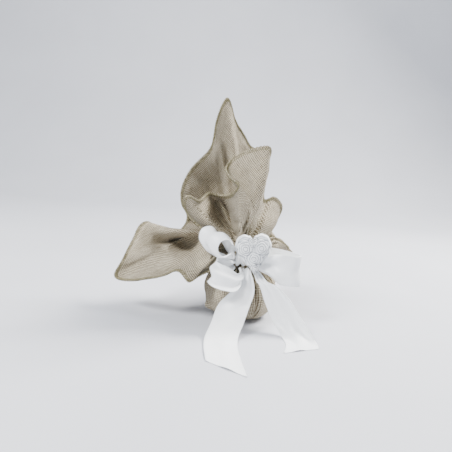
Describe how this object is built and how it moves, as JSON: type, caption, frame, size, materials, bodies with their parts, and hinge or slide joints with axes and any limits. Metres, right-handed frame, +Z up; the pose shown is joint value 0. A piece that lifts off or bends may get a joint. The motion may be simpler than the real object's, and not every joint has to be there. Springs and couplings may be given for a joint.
{
  "type": "wedding favour pouch",
  "caption": "Linen cloth gathered round sweets into a small standing pouch, tied at the neck with a satin bow and finished with a plaster heart.",
  "frame": {"origin": "middle of the flat base the pouch stands on", "axes": "+Z up, -Y towards the front with the bow and heart, +X to the viewer's right"},
  "size_m": [0.1704, 0.2097, 0.1842],
  "materials": {
    "linen": "matt plain weave",
    "edging_thread": "matt twisted thread",
    "cotton_thread": "matt",
    "satin": "satin sheen",
    "hot_glue": "waxy",
    "plaster": "chalky",
    "tulle": "sheer net",
    "sugar_shell": "smooth sugar"
  },
  "bodies": {
    "pouch": {"linen_square": "linen", "overlock_edging": "edging_thread", "neck_thread": "cotton_thread", "ribbon_neck_band": "satin", "bow_knot": "satin", "glue_dab": "hot_glue", "plaster_heart": "plaster", "bow_loop_upper_left": "satin", "bow_loop_lower_left": "satin", "bow_loop_right": "satin", "tulle_veil": "tulle", "sugared_almond_1": "sugar_shell", "sugared_almond_2": "sugar_shell", "sugared_almond_3": "sugar_shell", "sugared_almond_4": "sugar_shell", "sugared_almond_5": "sugar_shell"},
    "left_tail": {"ribbon_tail_left": "satin"},
    "right_tail": {"ribbon_tail_right": "satin"}
  },
  "joints": [
    {"name": "left_tail_swing", "type": "hinge", "parent": "pouch", "child": "left_tail", "pos_m": [0.003, -0.0205, 0.0456], "axis": [0, 0, 1], "range_deg": [-11, 9]},
    {"name": "right_tail_swing", "type": "hinge", "parent": "pouch", "child": "right_tail", "pos_m": [0.0086, -0.019, 0.0452], "axis": [0, 0, 1], "range_deg": [-8, 9]}
  ]
}
